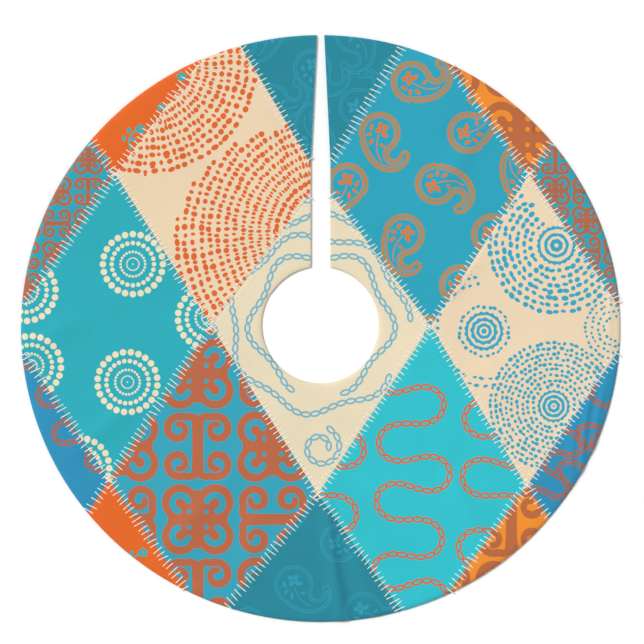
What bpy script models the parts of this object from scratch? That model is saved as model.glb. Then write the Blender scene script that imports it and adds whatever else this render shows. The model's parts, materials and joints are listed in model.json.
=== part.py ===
"""A round patchwork tree skirt with a slit, laid flat on the floor.

Metres, +Z up. The origin is on the floor under the middle of the skirt, and the slit runs from the neck
opening to the rim towards +Y. The skirt is a pieced top, a fleece interlining and a lining. Beside the
slit the top and the lining go on without fleece as two front corners, which turn back on fold lines so
that the skirt can go round a trunk. Three tabs under the left corner cross the slit and close it on tape
under the right one.
"""

import math

import bmesh
import bpy
from mathutils import Matrix

# The plan
RIM_HALF_WIDTH = 0.559  # along X
RIM_HALF_LENGTH = 0.5475  # along Y
NECK_RADIUS = 0.109
NECK_Y = 0.0065  # the neck opening's middle lies this far towards the slit
SLIT_HALF_AT_NECK = 0.0185  # half the slit's width, from the neck out to SLIT_TAPER_FROM
SLIT_HALF_AT_RIM = 0.0070
SLIT_TAPER_FROM = 0.310
FOLD_AT_NECK = math.radians(60)  # each fold line's ends, as turns from the slit's direction
FOLD_AT_RIM = math.radians(18)
ARC_STEP = math.radians(2)

# The layers, from the floor up
LINING_THICK = 0.0008
FLEECE_THICK = 0.0030
PATCH_THICK = 0.0012
LAYER_GAP = 0.0003
SEAM_GAP = 0.0004  # between two patches
FOLD_GAP = 0.0010  # between a front corner and the rest
LINING_INSET = 0.0030  # the lining is cut smaller than the top, so that it doesn't show
FLEECE_INSET = 0.0060  # the fleece is kept out of the turned edges

# The patchwork: diamonds, with this many half widths across the rim's half width, and so along it
HALF_WIDTHS = 2.87
HALF_HEIGHTS = 1.90
# The patches are cut by hand, so some corners stand off the even grid: (column, row) to (x, y)
UNEVEN = {
    (0, 1): (0.000, -0.011),
    (-1, 0): (-0.009, 0.005),
    (1, 0): (0.011, 0.005),
    (0, -1): (-0.005, -0.021),
    (-2, 1): (0.006, 0.000),
    (-2, -1): (-0.005, 0.005),
    (2, -1): (-0.005, -0.006),
    (-1, 2): (0.022, -0.009),
    (1, 2): (-0.012, -0.004),
    (-1, -2): (-0.008, 0.023),
    (1, -2): (-0.013, 0.007),
}

# The closing tabs
TAB_WIDTH = 0.025
TAB_THICK = 0.0006
TAB_EDGE = 0.0020  # from the slit's edge to a tab's fold
TAB_REACH = 0.027  # how far a tab goes under the right corner when it is across
TAB_CORNER = 0.008  # radius at a tab's free end
TAB_FROM_NECK = 0.034  # from the neck's edge to the middle of the first tab
TAB_FROM_RIM = 0.052  # from the rim to the middle of the last tab
SEWN_END = 0.014  # the end of a tab that is sewn to the lining
TAPE_THICK = 0.0007  # hook tape and loop tape
TAPE_LENGTH = 0.018
TAPE_MARGIN = 0.003  # bare tab round the hook tape, and how much further the loop tape goes
CLOSED_GAP = 0.0004  # between the hook and loop tapes when a tab is across
HINGE_ABOVE = 0.0003  # a corner's fold line lies this far above the top's upper face

# What follows from them
HALF_WIDTH = RIM_HALF_WIDTH / HALF_WIDTHS
HALF_HEIGHT = RIM_HALF_LENGTH / HALF_HEIGHTS
TAB_LENGTH = 2 * SLIT_HALF_AT_NECK + TAB_EDGE + TAB_REACH
FLEECE_Z = LINING_THICK + LAYER_GAP
PATCH_Z = FLEECE_Z + FLEECE_THICK + LAYER_GAP
TOP_Z = PATCH_Z + PATCH_THICK
CORNER_LINING_Z = PATCH_Z - LAYER_GAP - LINING_THICK  # in the front corners it lies against the top
FOLD_Z = TOP_Z + HINGE_ABOVE
SEWN_END_Z = CORNER_LINING_Z - LAYER_GAP - TAB_THICK
TAB_Z = SEWN_END_Z - LAYER_GAP - TAB_THICK
HOOK_Z = TAB_Z - LAYER_GAP - TAPE_THICK
LOOP_Z = CORNER_LINING_Z - LAYER_GAP - TAPE_THICK
# Half a turn about this height takes the hook tape's lower face to CLOSED_GAP under the loop tape
TAB_FOLD_Z = (HOOK_Z + LOOP_Z - CLOSED_GAP) / 2

# Each patch: its name, its diamond's (column, row), which half of the diamond, and the piece it is part of
PATCHES = [
    ("turquoise_rings_patch", (-2, 0), "whole", "skirt"),
    ("cream_chain_patch", (0, 0), "whole", "skirt"),
    ("cream_chain_patch_left_corner", (0, 0), "whole", "left"),
    ("cream_chain_patch_right_corner", (0, 0), "whole", "right"),
    ("cream_blue_dots_patch", (2, 0), "whole", "skirt"),
    ("cream_orange_dots_patch", (-1, 1), "whole", "skirt"),
    ("cream_orange_dots_patch_left_corner", (-1, 1), "whole", "left"),
    ("blue_paisley_patch", (1, 1), "whole", "skirt"),
    ("blue_paisley_patch_right_corner", (1, 1), "whole", "right"),
    ("red_scroll_patch_far_left", (-3, 1), "whole", "skirt"),
    ("red_scroll_patch_far_right", (3, 1), "whole", "skirt"),
    ("red_scroll_patch_lower_left", (-1, -1), "whole", "skirt"),
    ("turquoise_chain_patch", (1, -1), "whole", "skirt"),
    ("blue_chain_patch_far_left", (-3, -1), "whole", "skirt"),
    ("blue_chain_patch_far_right", (3, -1), "whole", "skirt"),
    ("orange_flower_patch_upper_left", (-2, 2), "whole", "skirt"),
    ("orange_flower_patch_lower_left", (-2, -2), "whole", "skirt"),
    ("brown_scroll_patch_upper_right", (2, 2), "whole", "skirt"),
    ("brown_scroll_patch_lower_right", (2, -2), "whole", "skirt"),
    ("teal_paisley_patch_top_left", (0, 2), "left", "left"),
    ("teal_paisley_patch_top_right", (0, 2), "right", "right"),
    ("teal_paisley_patch_bottom", (0, -2), "whole", "skirt"),
]
TABS = ["neck_tab", "middle_tab", "rim_tab"]

# Ground colour of each print, and of the plain cloths: linear red, green, blue
COLOURS = {
    "turquoise_rings": (0.030, 0.440, 0.520),
    "cream_chain": (0.820, 0.690, 0.480),
    "cream_blue_dots": (0.820, 0.660, 0.470),
    "cream_orange_dots": (0.800, 0.640, 0.430),
    "blue_paisley": (0.028, 0.370, 0.530),
    "red_scroll": (0.030, 0.380, 0.550),
    "turquoise_chain": (0.035, 0.560, 0.640),
    "blue_chain": (0.027, 0.260, 0.510),
    "orange_flower": (0.800, 0.140, 0.020),
    "brown_scroll": (0.860, 0.270, 0.022),
    "teal_paisley": (0.023, 0.240, 0.330),
    "lining": (0.780, 0.740, 0.660),
    "fleece": (0.850, 0.850, 0.830),
    "tab_cloth": (0.730, 0.690, 0.600),
    "tape": (0.800, 0.780, 0.720),
}
CLOTH_ROUGHNESS = 0.9


def material(name):
    found = bpy.data.materials.get(name)
    if found:
        return found
    made = bpy.data.materials.new(name)
    made.use_nodes = True
    shader = made.node_tree.nodes["Principled BSDF"]
    shader.inputs["Base Color"].default_value = (*COLOURS[name], 1)
    shader.inputs["Roughness"].default_value = CLOTH_ROUGHNESS
    shader.inputs["Metallic"].default_value = 0
    return made


def prism(name, outline, low, thick, colour=None):
    """The outline, anticlockwise from above, raised from low to low + thick."""
    shape = bmesh.new()
    base = shape.faces.new([shape.verts.new((x, y, low)) for x, y in outline])
    raised = bmesh.ops.extrude_face_region(shape, geom=[base])["geom"]
    tops = [v for v in raised if isinstance(v, bmesh.types.BMVert)]
    bmesh.ops.translate(shape, verts=tops, vec=(0, 0, thick))
    bmesh.ops.recalc_face_normals(shape, faces=shape.faces)
    mesh = bpy.data.meshes.new(name)
    shape.to_mesh(mesh)
    shape.free()
    made = bpy.data.objects.new(name, mesh)
    bpy.context.collection.objects.link(made)
    if colour:
        mesh.materials.append(material(colour))
    return made


class Oval:
    """An oval about (0, y). Angles on it run anticlockwise from +X."""

    def __init__(self, y, half_width, half_length):
        self.y, self.half_width, self.half_length = y, half_width, half_length

    def at(self, angle):
        return self.half_width * math.cos(angle), self.y + self.half_length * math.sin(angle)

    def arc(self, start, end):
        steps = max(1, math.ceil(abs(end - start) / ARC_STEP))
        return [self.at(start + (end - start) * i / steps) for i in range(steps + 1)]

    def angle_where(self, line):
        """Where a line, given as a point on it and its direction, goes out of the oval."""
        (x, y), (dx, dy) = line
        x, y = x / self.half_width, (y - self.y) / self.half_length
        dx, dy = dx / self.half_width, dy / self.half_length
        a, b, c = dx * dx + dy * dy, x * dx + y * dy, x * x + y * y - 1
        out = (math.sqrt(b * b - a * c) - b) / a
        return math.atan2(y + out * dy, x + out * dx)


def rim(inset=0.0):
    return Oval(0, RIM_HALF_WIDTH - inset, RIM_HALF_LENGTH - inset)


def neck(inset=0.0):
    return Oval(NECK_Y, NECK_RADIUS + inset, NECK_RADIUS + inset)


def fold_ends():
    """The right corner's fold line, at the neck and at the rim."""
    return neck().at(math.pi / 2 - FOLD_AT_NECK), rim().at(math.pi / 2 - FOLD_AT_RIM)


def fold_line(away=0.0):
    """A line alongside the right corner's fold line, this far on the side that doesn't turn back."""
    (x0, y0), (x1, y1) = fold_ends()
    length = math.hypot(x1 - x0, y1 - y0)
    dx, dy = (x1 - x0) / length, (y1 - y0) / length
    return (x0 + away * dy, y0 - away * dx), (dx, dy)


def slit_half(y):
    """Half the slit's width at this y."""
    along = max(0.0, (y - SLIT_TAPER_FROM) / (RIM_HALF_LENGTH - SLIT_TAPER_FROM))
    return SLIT_HALF_AT_NECK + (SLIT_HALF_AT_RIM - SLIT_HALF_AT_NECK) * along


def skirt_plan(inset):
    """All but the front corners: round the rim from one fold line to the other, and back round the neck."""
    line = fold_line(FOLD_GAP / 2)
    at_rim, at_neck = rim(inset).angle_where(line), neck(inset).angle_where(line)
    outer = rim(inset).arc(math.pi - at_rim, 2 * math.pi + at_rim)
    inner = neck(inset).arc(2 * math.pi + at_neck, math.pi - at_neck)
    return outer + inner


def right_corner_plan(inset):
    """The front corner at +X, between the slit and its fold line."""
    line = fold_line(-FOLD_GAP / 2)
    rim_half, neck_half = SLIT_HALF_AT_RIM + inset, SLIT_HALF_AT_NECK + inset
    taper = ((neck_half, SLIT_TAPER_FROM), (rim_half - neck_half, RIM_HALF_LENGTH - SLIT_TAPER_FROM))
    outer = rim(inset).arc(rim(inset).angle_where(line), rim(inset).angle_where(taper))
    straight = ((neck_half, NECK_Y), (0, 1))
    inner = neck(inset).arc(neck(inset).angle_where(straight), neck(inset).angle_where(line))
    return outer + [(neck_half, SLIT_TAPER_FROM)] + inner


def mirrored(outline):
    return [(-x, y) for x, y in reversed(outline)]


def plan(piece, inset=0.0):
    if piece == "skirt":
        return skirt_plan(inset)
    right = right_corner_plan(inset)
    return right if piece == "right" else mirrored(right)


def patch_corner(column, row):
    """Where four patches meet. Odd columns meet in even rows, and even columns in odd rows."""
    off_x, off_y = UNEVEN.get((column, row), (0, 0))
    return column * HALF_WIDTH + off_x, row * HALF_HEIGHT + off_y


def diamond(column, row, half):
    """A patch's outline, or its left or right half, anticlockwise from its bottom corner."""
    bottom, right = patch_corner(column, row - 1), patch_corner(column + 1, row)
    top, left = patch_corner(column, row + 1), patch_corner(column - 1, row)
    return {
        "whole": [bottom, right, top, left],
        "left": [bottom, top, left],
        "right": [bottom, right, top],
    }[half]


def drawn_in(outline, by):
    """The outline with every side moved in by this much."""
    lines = []
    for (x0, y0), (x1, y1) in zip(outline, outline[1:] + outline[:1]):
        length = math.hypot(x1 - x0, y1 - y0)
        normal = ((y0 - y1) / length, (x1 - x0) / length)
        lines.append((*normal, normal[0] * x0 + normal[1] * y0 + by))
    points = []
    for (a, b, c), (d, e, f) in zip(lines[-1:] + lines[:-1], lines):
        det = a * e - b * d
        points.append(((c * e - b * f) / det, (a * f - c * d) / det))
    return points


def hinge(name, x, y, z):
    """An empty on a joint's axis, for the pieces that turn with it."""
    made = bpy.data.objects.new(name, None)
    bpy.context.collection.objects.link(made)
    made.location = (x, y, z)
    return made


def hang(piece, parent):
    """The piece turns with this hinge, and stays where it is now."""
    if parent:
        piece.parent = parent
        piece.matrix_parent_inverse = Matrix.Translation(parent.location).inverted()


def trimmers():
    """For the skirt and for each front corner, a slab of its plan that the patches are cut to."""
    made = {}
    for piece in ("skirt", "left", "right"):
        slab = prism(piece + "_trimmer", plan(piece), PATCH_Z - PATCH_THICK, 3 * PATCH_THICK)
        slab.hide_render = True
        slab.display_type = "WIRE"
        made[piece] = slab
    return made


def patches(folds):
    slabs = trimmers()
    for name, cell, half, piece in PATCHES:
        outline = drawn_in(diamond(*cell, half), SEAM_GAP / 2)
        patch = prism(name, outline, PATCH_Z, PATCH_THICK, name.split("_patch")[0])
        trim = patch.modifiers.new("trim_to_plan", "BOOLEAN")
        trim.operation = "INTERSECT"
        trim.object = slabs[piece]
        hang(patch, folds[piece])


def under_layers(folds):
    prism("lining", plan("skirt", LINING_INSET), 0, LINING_THICK, "lining")
    prism("fleece_interlining", plan("skirt", FLEECE_INSET), FLEECE_Z, FLEECE_THICK, "fleece")
    for side in ("left", "right"):
        name = side + "_corner_lining"
        made = prism(name, plan(side, LINING_INSET), CORNER_LINING_Z, LINING_THICK, "lining")
        hang(made, folds[side])


def tab_outline():
    """A tab from its fold at the origin towards -X, with a rounded free end."""
    half, end = TAB_WIDTH / 2 - TAB_CORNER, TAB_CORNER - TAB_LENGTH
    round_end = Oval(0, TAB_CORNER, TAB_CORNER)
    upper = [(x + end, y + half) for x, y in round_end.arc(math.pi / 2, math.pi)]
    lower = [(x + end, y - half) for x, y in round_end.arc(math.pi, 1.5 * math.pi)]
    return [(0, TAB_WIDTH / 2)] + upper + lower + [(0, -TAB_WIDTH / 2)]


def rectangle(x, length, width):
    return [(x, -width / 2), (x + length, -width / 2), (x + length, width / 2), (x, width / 2)]


def moved(outline, x, y):
    return [(px + x, py + y) for px, py in outline]


def closing_tabs(folds):
    first = NECK_Y + NECK_RADIUS + TAB_FROM_NECK
    last = RIM_HALF_LENGTH - TAB_FROM_RIM
    hook = rectangle(TAPE_MARGIN - TAB_LENGTH, TAPE_LENGTH, TAB_WIDTH - 2 * TAPE_MARGIN)
    loop_length = TAPE_LENGTH + 2 * TAPE_MARGIN
    loop = rectangle(TAB_LENGTH - loop_length, loop_length, TAB_WIDTH)
    sewn = rectangle(-SEWN_END, SEWN_END, TAB_WIDTH)
    for i, name in enumerate(TABS):
        y = first + (last - first) * i / (len(TABS) - 1)
        x = -slit_half(y - TAB_WIDTH / 2) - TAB_EDGE
        turn = hinge(name + "_fold", x, y, TAB_FOLD_Z)
        hang(turn, folds["left"])
        hang(prism(name, moved(tab_outline(), x, y), TAB_Z, TAB_THICK, "tab_cloth"), turn)
        hang(prism(name + "_hook_tape", moved(hook, x, y), HOOK_Z, TAPE_THICK, "tape"), turn)
        sewn_end = prism(name + "_sewn_end", moved(sewn, x, y), SEWN_END_Z, TAB_THICK, "tab_cloth")
        hang(sewn_end, folds["left"])
        loop_tape = prism(name + "_loop_tape", moved(loop, x, y), LOOP_Z, TAPE_THICK, "tape")
        hang(loop_tape, folds["right"])


def main():
    for old in list(bpy.data.objects):
        bpy.data.objects.remove(old)
    (neck_x, neck_y), (rim_x, rim_y) = fold_ends()
    x, y = (neck_x + rim_x) / 2, (neck_y + rim_y) / 2
    folds = {
        "skirt": None,
        "left": hinge("left_corner_fold", -x, y, FOLD_Z),
        "right": hinge("right_corner_fold", x, y, FOLD_Z),
    }
    patches(folds)
    under_layers(folds)
    closing_tabs(folds)


main()
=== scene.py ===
import json
import math
import random

import bmesh
import bpy
import numpy as np
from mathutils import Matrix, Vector
from mathutils.geometry import delaunay_2d_cdt


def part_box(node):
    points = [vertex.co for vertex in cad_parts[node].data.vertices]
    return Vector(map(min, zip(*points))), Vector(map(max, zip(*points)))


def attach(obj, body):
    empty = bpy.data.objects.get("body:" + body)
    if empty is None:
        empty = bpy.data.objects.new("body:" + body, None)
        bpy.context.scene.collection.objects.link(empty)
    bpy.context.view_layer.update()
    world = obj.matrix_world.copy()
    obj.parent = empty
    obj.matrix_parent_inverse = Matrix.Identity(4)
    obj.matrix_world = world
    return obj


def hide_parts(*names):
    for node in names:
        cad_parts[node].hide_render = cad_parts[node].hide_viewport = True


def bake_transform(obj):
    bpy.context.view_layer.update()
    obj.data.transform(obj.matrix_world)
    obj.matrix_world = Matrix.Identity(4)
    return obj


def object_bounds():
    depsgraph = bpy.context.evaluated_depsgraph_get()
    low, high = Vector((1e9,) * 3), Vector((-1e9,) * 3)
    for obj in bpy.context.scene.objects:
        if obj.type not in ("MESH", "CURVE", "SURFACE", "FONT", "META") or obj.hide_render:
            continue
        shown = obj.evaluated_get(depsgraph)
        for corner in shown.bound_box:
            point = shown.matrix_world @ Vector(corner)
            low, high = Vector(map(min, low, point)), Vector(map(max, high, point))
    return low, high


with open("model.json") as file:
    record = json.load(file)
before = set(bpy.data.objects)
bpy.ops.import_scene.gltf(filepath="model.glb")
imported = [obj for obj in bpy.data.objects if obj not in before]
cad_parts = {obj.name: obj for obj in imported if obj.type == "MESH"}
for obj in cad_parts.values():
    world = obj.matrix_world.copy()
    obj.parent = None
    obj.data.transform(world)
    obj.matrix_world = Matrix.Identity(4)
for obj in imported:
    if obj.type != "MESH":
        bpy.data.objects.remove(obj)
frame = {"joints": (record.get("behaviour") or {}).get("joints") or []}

cadLow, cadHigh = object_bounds()
mm = 0.001  # every length below is in millimetres until a mesh is made

# plan of the skirt
joints = {j["name"]: j for j in frame["joints"]}
foldPoint = Vector(joints["right_corner_fold"]["pos_m"]) / mm
foldAxis = Vector(joints["right_corner_fold"]["axis"]).normalized()
plan = {
    "rimX": (cadHigh.x - cadLow.x) / 2 / mm,
    "rimY": (cadHigh.y - cadLow.y) / 2 / mm,
    "neckRadius": 109.0,
    "neckY": 6.5,
    "slitHalfAtNeck": 18.5,
    "slitHalfAtRim": 7.0,
    "slitTaperFrom": 310.0,
    "diamondX": 194.77,      # half a diamond across
    "diamondY": 288.16,      # half a diamond up and down
    "seamGap": 0.15,         # each patch stands back this far from its seam
    "splitY": 5.0,           # the pieces that bend are cut from the flat ones here
    "bendWidth": 24.0,       # cloth that turns over at a fold line
    "floorGap": 0.2,
}
# the hand-cut diamonds are not quite even: (column, row) of a corner, and how far it has strayed
strayed = {
    (0, 1): (0, -11), (-1, 0): (-9, 5), (1, 0): (11, 5), (0, -1): (-5, -21),
    (-2, 1): (6, 0), (-2, -1): (-5, 5), (2, -1): (-5, -6),
    (-1, 2): (22, -9), (1, 2): (-12, -4), (-1, -2): (-8, 23), (1, -2): (-13, 7),
}
layers = {"liningTop": 0.8, "patchTop": 5.6, "patchThick": 1.2}


def nodeCorner(column, row):
    dx, dy = strayed.get((column, row), (0, 0))
    return column * plan["diamondX"] + dx, row * plan["diamondY"] + dy


def diamond(column, row):
    pts = [nodeCorner(column, row - 1), nodeCorner(column + 1, row),
           nodeCorner(column, row + 1), nodeCorner(column - 1, row)]
    return insetConvex(pts, plan["seamGap"])


def insetConvex(pts, inset):
    out = []
    for i, p in enumerate(pts):
        a, b = Vector(pts[i - 1]), Vector(pts[(i + 1) % len(pts)])
        p = Vector(p)
        d1, d2 = (p - a).normalized(), (b - p).normalized()
        n1, n2 = Vector((-d1.y, d1.x)), Vector((-d2.y, d2.x))
        m = (n1 + n2) / (1 + n1.dot(n2))
        out.append(tuple(p + m * inset))
    return out


def slitHalf(y):
    t = np.clip((np.asarray(y, float) - plan["slitTaperFrom"]) / (plan["rimY"] - plan["slitTaperFrom"]), 0, 1)
    return plan["slitHalfAtNeck"] + (plan["slitHalfAtRim"] - plan["slitHalfAtNeck"]) * t


# counter-clockwise, from the slit round the rim and back round the neck
def skirtOutline(inset=0.0, step=6.0):
    a, b, r = plan["rimX"] - inset, plan["rimY"] - inset, plan["neckRadius"] + inset
    yRim = b * math.sqrt(1 - ((plan["slitHalfAtRim"] + inset) / a) ** 2)
    half = lambda y: float(slitHalf(y)) + inset
    start = math.atan2(yRim / b, half(yRim) / a)
    turns = int(2 * math.pi * a / step)
    rim = [(a * math.cos(t), b * math.sin(t))
           for t in np.linspace(math.pi - start, start + 2 * math.pi, turns)]
    yNeck = plan["neckY"] + math.sqrt(r * r - half(0) ** 2)
    steps = int((yRim - yNeck) / step)
    ys = np.linspace(yRim, yNeck, steps)[1:-1]
    right = [(half(y), float(y)) for y in ys]
    left = [(-x, y) for x, y in reversed(right)]
    s = math.asin(half(0) / r)
    neck = [(r * math.sin(t), plan["neckY"] + r * math.cos(t))
            for t in np.linspace(s, 2 * math.pi - s, int(2 * math.pi * r / (step * 0.7)))]
    return rim + right + neck + left


def smooth(t):
    t = np.clip(t, 0, 1)
    return t * t * (3 - 2 * t)


# distance outside the nearer fold line, negative in a corner
def fromFold(x, y):
    ax = np.abs(x)
    return (ax - foldPoint.x) * foldAxis.y - (y - foldPoint.y) * foldAxis.x


# 0 on the flat skirt, 1 in a corner that folds
def inCorner(x, y):
    return smooth(-fromFold(x, y) / 10.0) * (np.asarray(y) > plan["splitY"])


def fromRim(x, y):
    a, b = plan["rimX"], plan["rimY"]
    u = np.hypot(x / a, y / b)
    grad = np.hypot(x / a ** 2, y / b ** 2) / np.maximum(u, 1e-6)
    return (1 - u) / np.maximum(grad, 1e-9)


def fromNeck(x, y):
    return np.hypot(x, y - plan["neckY"]) - plan["neckRadius"]


def fromSlit(x, y):
    return np.where(np.asarray(y) > 60, np.abs(x) - slitHalf(y), 999.0)


# seams
seamEnds = [((0, 1), (1, 0)), ((0, 1), (1, 2)), ((1, 0), (2, 1)), ((1, 0), (2, -1)), ((2, 1), (1, 2)),
            ((2, 1), (3, 2)), ((2, 1), (3, 0)), ((2, -1), (3, 0)), ((2, -1), (3, -2)), ((2, -1), (1, -2)),
            ((1, 0), (0, -1)), ((0, -1), (1, -2))]
mirrored = lambda n: (-n[0], n[1])
seamEnds += [(mirrored(a), mirrored(b)) for a, b in seamEnds]
seams = [(Vector(nodeCorner(*a)), Vector(nodeCorner(*b))) for a, b in seamEnds]


def fromSeam(x, y):
    best = np.full(np.shape(x), 999.0)
    for a, b in seams:
        d = b - a
        t = np.clip(((x - a.x) * d.x + (y - a.y) * d.y) / d.length_squared, 0, 1)
        best = np.minimum(best, np.hypot(x - a.x - t * d.x, y - a.y - t * d.y))
    return best


# how the cloth lies
creases = {  # soft folds left from hanging: ends in mm, height and width in mm
    "bottomFold": ((45, -552), (12, -330), 8.5, 12), "bottomFoldTwo": ((105, -540), (62, -400), 4.0, 16),
    "rightRimOne": ((487, -285), (505, -110), 4.2, 7), "rightRimTwo": ((508, -240), (533, -100), 3.4, 6),
    "rightRimThree": ((470, -300), (478, -160), 2.6, 8), "rightRimFour": ((540, -60), (546, 70), 2.0, 7),
    "scrollOne": ((-300, -430), (-140, -250), 4.0, 20), "scrollTwo": ((-130, -480), (-120, -320), 3.4, 18),
    "rightShade": ((230, 60), (300, 130), 4.0, 18), "paisleyOne": ((330, 430), (210, 250), 3.4, 20),
    "orangeOne": ((-370, 420), (-250, 300), 3.6, 16), "orangeTwo": ((-300, 470), (-220, 360), 1.8, 14),
    "leftOne": ((-540, -40), (-420, 30), 3.0, 20), "leftTwo": ((-480, -250), (-340, -140), 3.4, 18),
    "chainOne": ((330, -430), (230, -250), 3.6, 18),
}
ripples = [(0.0131, 0.0072, 0.4), (-0.0067, 0.0118, 2.1), (0.0193, -0.0149, 1.2), (0.0041, 0.0209, 4.0)]


# height of the soft waves in the cloth, in mm, none of it in the corners
def relief(x, y):
    z = np.zeros(np.shape(x))
    for kx, ky, phase in ripples:
        z = z + 0.30 * (1 + np.sin(x * kx + y * ky + phase + 0.8 * np.sin(y * kx * 0.7)))
    for (x0, y0), (x1, y1), height, width in creases.values():
        dx, dy = x1 - x0, y1 - y0
        run = dx * dx + dy * dy
        t = ((x - x0) * dx + (y - y0) * dy) / run
        side = ((x - x0) * dy - (y - y0) * dx) / math.sqrt(run)
        side = side + 5 * np.sin(t * 3.1)
        z = z + height * np.exp(-(side / width) ** 2) * smooth((t + 0.15) / 0.4) * smooth((1.25 - t) / 0.6)
    z = z * np.where(np.asarray(y) > 0, smooth((fromFold(x, y) - 4) / 60), 1.0)
    return z * smooth((fromNeck(x, y) - 6) / 60)


def edgeRoll(distance, drop, width):
    t = np.clip(1 - distance / width, 0, 1)
    return drop * (1 - np.sqrt(np.maximum(1 - t * t, 0)))


def patchTop(x, y, dip=True):
    x, y = np.asarray(x, float), np.asarray(y, float)
    corner = inCorner(x, y)
    z = layers["patchTop"] + relief(x, y)
    if dip:
        z = z - (0.8 - 0.5 * corner) * np.exp(-fromSeam(x, y) / 2.6)
    roll = edgeRoll(fromRim(x, y), 1, 11) * (4.1 * (1 - corner) + 2.3 * corner)
    roll = np.maximum(roll, edgeRoll(fromNeck(x, y), 1, 10) * (4.1 * (1 - corner) + 2.3 * corner))
    roll = np.maximum(roll, edgeRoll(fromSlit(x, y), 0.3, 4))
    return np.maximum(z - roll, plan["floorGap"] + layers["patchThick"])


# colours and node helper
def hexColour(code):
    def linear(c):
        return c / 12.92 if c <= 0.04045 else ((c + 0.055) / 1.055) ** 2.4
    return tuple(linear(int(code[i:i + 2], 16) / 255) for i in (1, 3, 5)) + (1.0,)


# one node: settings are its own fields, links are input name or number to a value or an output
def addNode(tree, kind, settings=None, **links):
    node = tree.nodes.new(kind)
    for key, value in (settings or {}).items():
        setattr(node, key, value)
    for key, source in links.items():
        key = int(key[1:]) if key[0] == "i" and key[1:].isdigit() else key.replace("_", " ")
        if isinstance(source, bpy.types.NodeSocket):
            tree.links.new(source, node.inputs[key])
        else:
            node.inputs[key].default_value = source
    return node


# a mesh object in the scene; each vertex has its own point of the cloth in uvs
def meshObject(name, verts, faces, materials=(), uvs=None, smooth=True, edges=()):
    mesh = bpy.data.meshes.new(name)
    mesh.from_pydata(verts, edges, faces)
    for m in materials:
        mesh.materials.append(m)
    mesh.polygons.foreach_set("use_smooth", np.full(len(faces), smooth))
    if uvs is not None:
        layer = mesh.uv_layers.new(name="cloth")
        loops = np.zeros(len(mesh.loops), np.int32)
        mesh.loops.foreach_get("vertex_index", loops)
        layer.data.foreach_set("uv", np.asarray(uvs, np.float32)[loops].ravel())
    obj = bpy.data.objects.new(name, mesh)
    bpy.context.scene.collection.objects.link(obj)
    return obj


def faceOutward(mesh):
    bm = bmesh.new()
    bm.from_mesh(mesh)
    bmesh.ops.recalc_face_normals(bm, faces=bm.faces)
    bm.to_mesh(mesh)
    bm.free()


# Matt cloth: the weave and a short nap are in the bump, and the colour is slightly uneven: a little darker
# where the bump is low, a painted shade among the nap and, on plain cloth, in the weave's grooves.
# Threads finer than about 1 mm are drawn coarser than they are, so that they show.
def clothMaterial(name, code, threadMm, roughness, bump, fuzzScale=500.0, toneAndShadeDepth=0.04, nap=0.1,
                  twill=False, printed=False):
    mat = bpy.data.materials.new(name)
    mat.use_nodes = True
    t = mat.node_tree
    t.nodes.clear()
    uv = addNode(t, "ShaderNodeUVMap", {"uv_map": "cloth"}).outputs[0]
    yarns = {"Vector": uv, "Scale": 2 * math.pi / (20 * threadMm * mm),
             "Distortion": 0.6 if printed else 0.8, "Detail": 1.0}
    warp = addNode(t, "ShaderNodeTexWave", {"bands_direction": "DIAGONAL" if twill else "X"}, **yarns)
    weft = addNode(t, "ShaderNodeTexWave", {"bands_direction": "Y"}, **yarns)
    weave = addNode(t, "ShaderNodeMath", {"operation": "MULTIPLY"}, i0=warp.outputs[1], i1=weft.outputs[1])
    fuzz = addNode(t, "ShaderNodeTexNoise", None, Vector=uv, Scale=fuzzScale, Detail=3.0 if printed else 4.0)
    height = addNode(t, "ShaderNodeMath", {"operation": "ADD"}, i0=weave.outputs[0], i1=fuzz.outputs[0])
    # plain cloth: the colour follows the bump height, a painted shade in the weave's grooves and among the
    # nap
    toneAndShade, low, high = height, 0.3, 1.3
    if printed:  # broad faint clouds, as dye leaves them
        cloud = addNode(t, "ShaderNodeTexNoise", None, Vector=uv, Scale=9.0, Detail=4.0, Roughness=0.6)
        # the nap's noise, which also lowers the bump, is mixed in: a painted shade where the nap is low
        toneAndShade = addNode(t, "ShaderNodeMath", {"operation": "MULTIPLY_ADD"},
                       i0=fuzz.outputs[0], i1=0.5, i2=cloud.outputs[0])
        low, high = 0.45, 1.05
    # how dark the colour is: painted shade in the low parts of the bump, with the dye's random clouds as well
    # on printed cloth
    value = addNode(t, "ShaderNodeMapRange", None, i0=toneAndShade.outputs[0], i1=low, i2=high,
                    i3=1 - toneAndShadeDepth, i4=1 + toneAndShadeDepth)
    hue = addNode(t, "ShaderNodeHueSaturation", None, Value=value.outputs[0], Color=hexColour(code))
    bumped = addNode(t, "ShaderNodeBump", None, Height=height.outputs[0], Strength=bump,
                     Distance=0.0006 if printed else 0.0008)
    shader = addNode(t, "ShaderNodeBsdfPrincipled", None, Base_Color=hue.outputs[0], Roughness=roughness,
                     IOR=1.47 if printed else 1.5, Specular_IOR_Level=0.25 if printed else 0.3,
                     Sheen_Weight=nap, Sheen_Roughness=0.5, Normal=bumped.outputs[0])
    addNode(t, "ShaderNodeOutputMaterial", None, Surface=shader.outputs[0])
    return mat


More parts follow.
